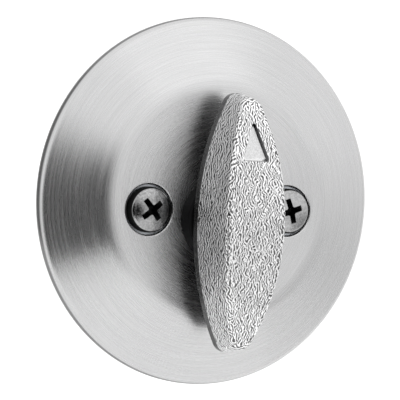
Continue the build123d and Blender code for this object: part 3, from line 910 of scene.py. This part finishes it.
def recess_cutter(centre, turn, top):
    """A cross recess whose four wings narrow towards the bottom."""
    bm = bmesh.new()
    loops = []
    for depth, tip, width, web in RECESS_SECTIONS:
        loop = []
        for wing in range(4):
            angle = math.radians(wing * 90 + turn)
            along = Vector((math.cos(angle), math.sin(angle)))
            across = Vector((-along.y, along.x))
            for point in (
                along * tip - across * width / 2,
                along * tip + across * width / 2,
                along * web + across * web * WEB_ROUNDING,
                along * web * WEB_ROUNDING + across * web,
            ):
                place = (centre[0] + point.x, -top + depth, centre[1] + point.y)
                loop.append(bm.verts.new(place))
        loops.append(loop)
    bridge(bm, *loops)
    for loop in loops:
        fill_between(bm, loop)
    return add_object("recess", bm)


def thread_radius(angle, y, tip):
    """Radius of the screw's thread at an angle round it and a place along it."""
    phase = (y / THREAD_PITCH - angle / (2 * math.pi)) % 1
    crest = min(1.0, max(0.0, THREAD_STEEPNESS * (1 - abs(2 * phase - 1)) - THREAD_ROOT))
    start = min(1.0, max(0.0, (y - THREAD_START) / THREAD_PITCH))
    radius = THREAD_MINOR + (THREAD_MAJOR - THREAD_MINOR) * (crest * start + 1 - start)
    return min(radius, THREAD_MINOR - POINT_CHAMFER + (tip - y))


def make_screw(side, material):
    """A threaded pan-head screw. Its head and thread are one mesh, and its recess is cut in."""
    lo, hi = SCREW_BOXES[side]
    centre = ((lo.x + hi.x) / 2, (lo.z + hi.z) / 2)
    bm = bmesh.new()
    head = lathe(bm, screw_head_profile(), centre)
    cap(bm, head[0])
    last = head[-1]
    angles = [2 * math.pi * k / len(last) for k in range(len(last))]
    rows = 360
    for y in np.linspace(THREAD_START, hi.y, rows):
        loop = turned_ring(bm, centre, [thread_radius(angle, y, hi.y) for angle in angles], y)
        bridge(bm, last, loop)
        last = loop
    cap(bm, last)
    screw = add_object(f"machine_screw_{side}", bm, material, smooth_angle=50)
    cut(screw, recess_cutter(centre, RECESS_TURNS[side], -lo.y))
    shade(screw, 40)
    return stands_for(screw, f"mounting_screw_{side}")


# ---------------------------------------------------------------- CAD nodes that keep their shape


def finish_frame_node(node, material):
    """A CAD node keeps its shape, with its sharp edges softened and a real finish."""
    obj = frame["nodes"][node]
    obj.data.materials.clear()
    obj.data.materials.append(material)
    if "custom_normal" in obj.data.attributes:
        obj.data.attributes.remove(obj.data.attributes["custom_normal"])
    obj.data.shade_smooth()
    weld = obj.modifiers.new("weld", "WELD")
    weld.merge_threshold = FRAME_WELD * MM
    bevel = obj.modifiers.new("edges", "BEVEL")
    bevel.width = FRAME_EDGE * MM
    bevel.segments = 2
    bevel.limit_method = "ANGLE"
    bevel.angle_limit = math.radians(35)
    even_normals(obj)


# ---------------------------------------------------------------- floor, light and camera


def make_stage():
    """A plain pale floor that curves up into a backdrop, well away from the object.

    In front of the object it is a narrow strip, which widens beside it.
    """
    material, shader = new_material("studio_white")
    shader.inputs["Base Color"].default_value = (0.8, 0.8, 0.8, 1.0)
    shader.inputs["Roughness"].default_value = 0.9
    shader.inputs["Emission Color"].default_value = (1.0, 1.0, 1.0, 1.0)
    shader.inputs["Emission Strength"].default_value = 0.3
    floor_ys = (FLOOR_FRONT_Y, FLOOR_NARROW_Y, FLOOR_WIDE_Y, BACKDROP_Y)
    corners = [(y, FLOOR_Z) for y in floor_ys] + [(BACKDROP_Y, BACKDROP_TOP)]
    profile = rounded_path(corners, {3: BACKDROP_CURVE}, steps=24)
    half_widths = [FLOOR_NARROW] * 2 + [FLOOR_WIDE] * (len(profile) - 2)
    bm = bmesh.new()
    rows = []
    for half, (y, z) in zip(half_widths, profile):
        rows.append([bm.verts.new((x, y, z)) for x in (-min(half, FLOOR_LEFT_LIMIT), half)])
    for (left, right), (next_left, next_right) in zip(rows, rows[1:]):
        bm.faces.new((left, right, next_right, next_left))
    floor = add_object("studio_floor", bm, material)


def make_world():
    """Even white light, with dimmer areas in front and to the sides that the metal can show.

    The camera itself sees plain white all round.
    """
    world = bpy.data.worlds.new("studio")
    bpy.context.scene.world = world
    world.use_nodes = True
    background = world.node_tree.nodes["Background"]
    direction = add_node(world, "ShaderNodeTexCoord").outputs["Generated"]
    ray = add_node(world, "ShaderNodeSeparateXYZ", {0: direction}).outputs
    azimuth = maths(world, "ARCTAN2", ray["X"], maths(world, "MULTIPLY", ray["Y"], -1.0))
    elevation = maths(world, "ARCSINE", ray["Z"])
    total = 1.0
    for middle, half_size, edge, weight in DIM_AREAS:
        offsets = []
        for angle, centre, half in zip((azimuth, elevation), middle, half_size):
            offset = maths(world, "SUBTRACT", angle, math.radians(centre))
            offsets.append(maths(world, "DIVIDE", offset, math.radians(half)))
        reach = maths(world, "SQRT", add_squares(world, *offsets))
        area = remap(world, reach, 1 - edge, 1 + edge, 1.0 - weight, 1.0)
        total = maths(world, "MULTIPLY", area, total)
    seen = add_node(world, "ShaderNodeLightPath").outputs["Is Camera Ray"]
    link(world, maths(world, "MAXIMUM", total, seen), background.inputs["Color"])
    background.inputs["Strength"].default_value = WORLD_STRENGTH


def towards(azimuth, elevation):
    """Unit vector from the object towards a viewer or a lamp."""
    a, e = math.radians(azimuth), math.radians(elevation)
    return Vector((math.sin(a) * math.cos(e), -math.cos(a) * math.cos(e), math.sin(e)))


def make_lights():
    """A large soft box above on the right, and a small weak one low on the left."""
    for name, azimuth, elevation, size, power in LIGHTS:
        back = towards(azimuth, elevation)
        light = bpy.data.lights.new(name, "AREA")
        light.shape = "SQUARE"
        light.size = size
        light.energy = power
        obj = bpy.data.objects.new(name, light)
        obj.location = back * LIGHT_DISTANCE
        obj.rotation_mode = "QUATERNION"
        obj.rotation_quaternion = (-back).to_track_quat("-Z", "Y")
        bpy.context.scene.collection.objects.link(obj)


def make_camera():
    """The photo's view: a long lens, from the left and slightly above."""
    back = towards(CAMERA_AZIMUTH, CAMERA_ELEVATION)
    facing = (-back).to_track_quat("-Z", "Y").to_matrix()
    turned = facing @ Matrix.Rotation(math.radians(CAMERA_ROLL), 3, "Z")
    aim = Vector((0.0, 0.0, ROSE_Z * MM))
    aim += turned @ Vector((CAMERA_AIM[0] * MM, CAMERA_AIM[1] * MM, 0.0))
    camera = bpy.data.objects.new("camera", bpy.data.cameras.new("camera"))
    camera.data.lens = CAMERA_LENS
    camera.data.sensor_width = CAMERA_SENSOR
    camera.data.clip_start, camera.data.clip_end = CAMERA_CLIP
    camera.rotation_mode = "QUATERNION"
    camera.rotation_quaternion = turned.to_quaternion()
    camera.location = aim + back * CAMERA_DISTANCE
    bpy.context.scene.collection.objects.link(camera)
    bpy.context.scene.camera = camera


# ---------------------------------------------------------------- assembly

make_rose(satin_chrome())
make_turn(cast_satin())

finishes = {
    "black_nylon": moulded_nylon("black_nylon", (0.005, 0.005, 0.0055), 0.3, 0.55, 0.06),
    "natural_nylon": moulded_nylon("natural_nylon", (0.78, 0.74, 0.64), 0.08, 0.45, 0.4),
    "screw_plating": screw_plate(),
    "zinc_steel": plated_steel("zinc_steel", (0.46, 0.48, 0.51), (0.62, 0.64, 0.67), 0.34),
    "hardened_steel": plated_steel("hardened_steel", grey(0.13), grey(0.24), 0.34),
    "spring_steel": plated_steel("spring_steel", (0.34, 0.33, 0.31), (0.48, 0.46, 0.43), 0.24),
    "black_spring_steel": plated_steel("black_spring_steel", grey(0.02), grey(0.05), 0.42),
    "blade_steel": plated_steel("blade_steel", (0.5, 0.45, 0.3), (0.66, 0.62, 0.44), 0.3),
}
for side in SCREW_BOXES:
    make_screw(side, finishes["screw_plating"])
for node, slot in SLOT_OF.items():
    if node not in REPLACED:
        finish_frame_node(node, finishes[slot])

make_stage()
make_world()
make_lights()
make_camera()
bpy.context.scene.view_settings.view_transform = "Standard"
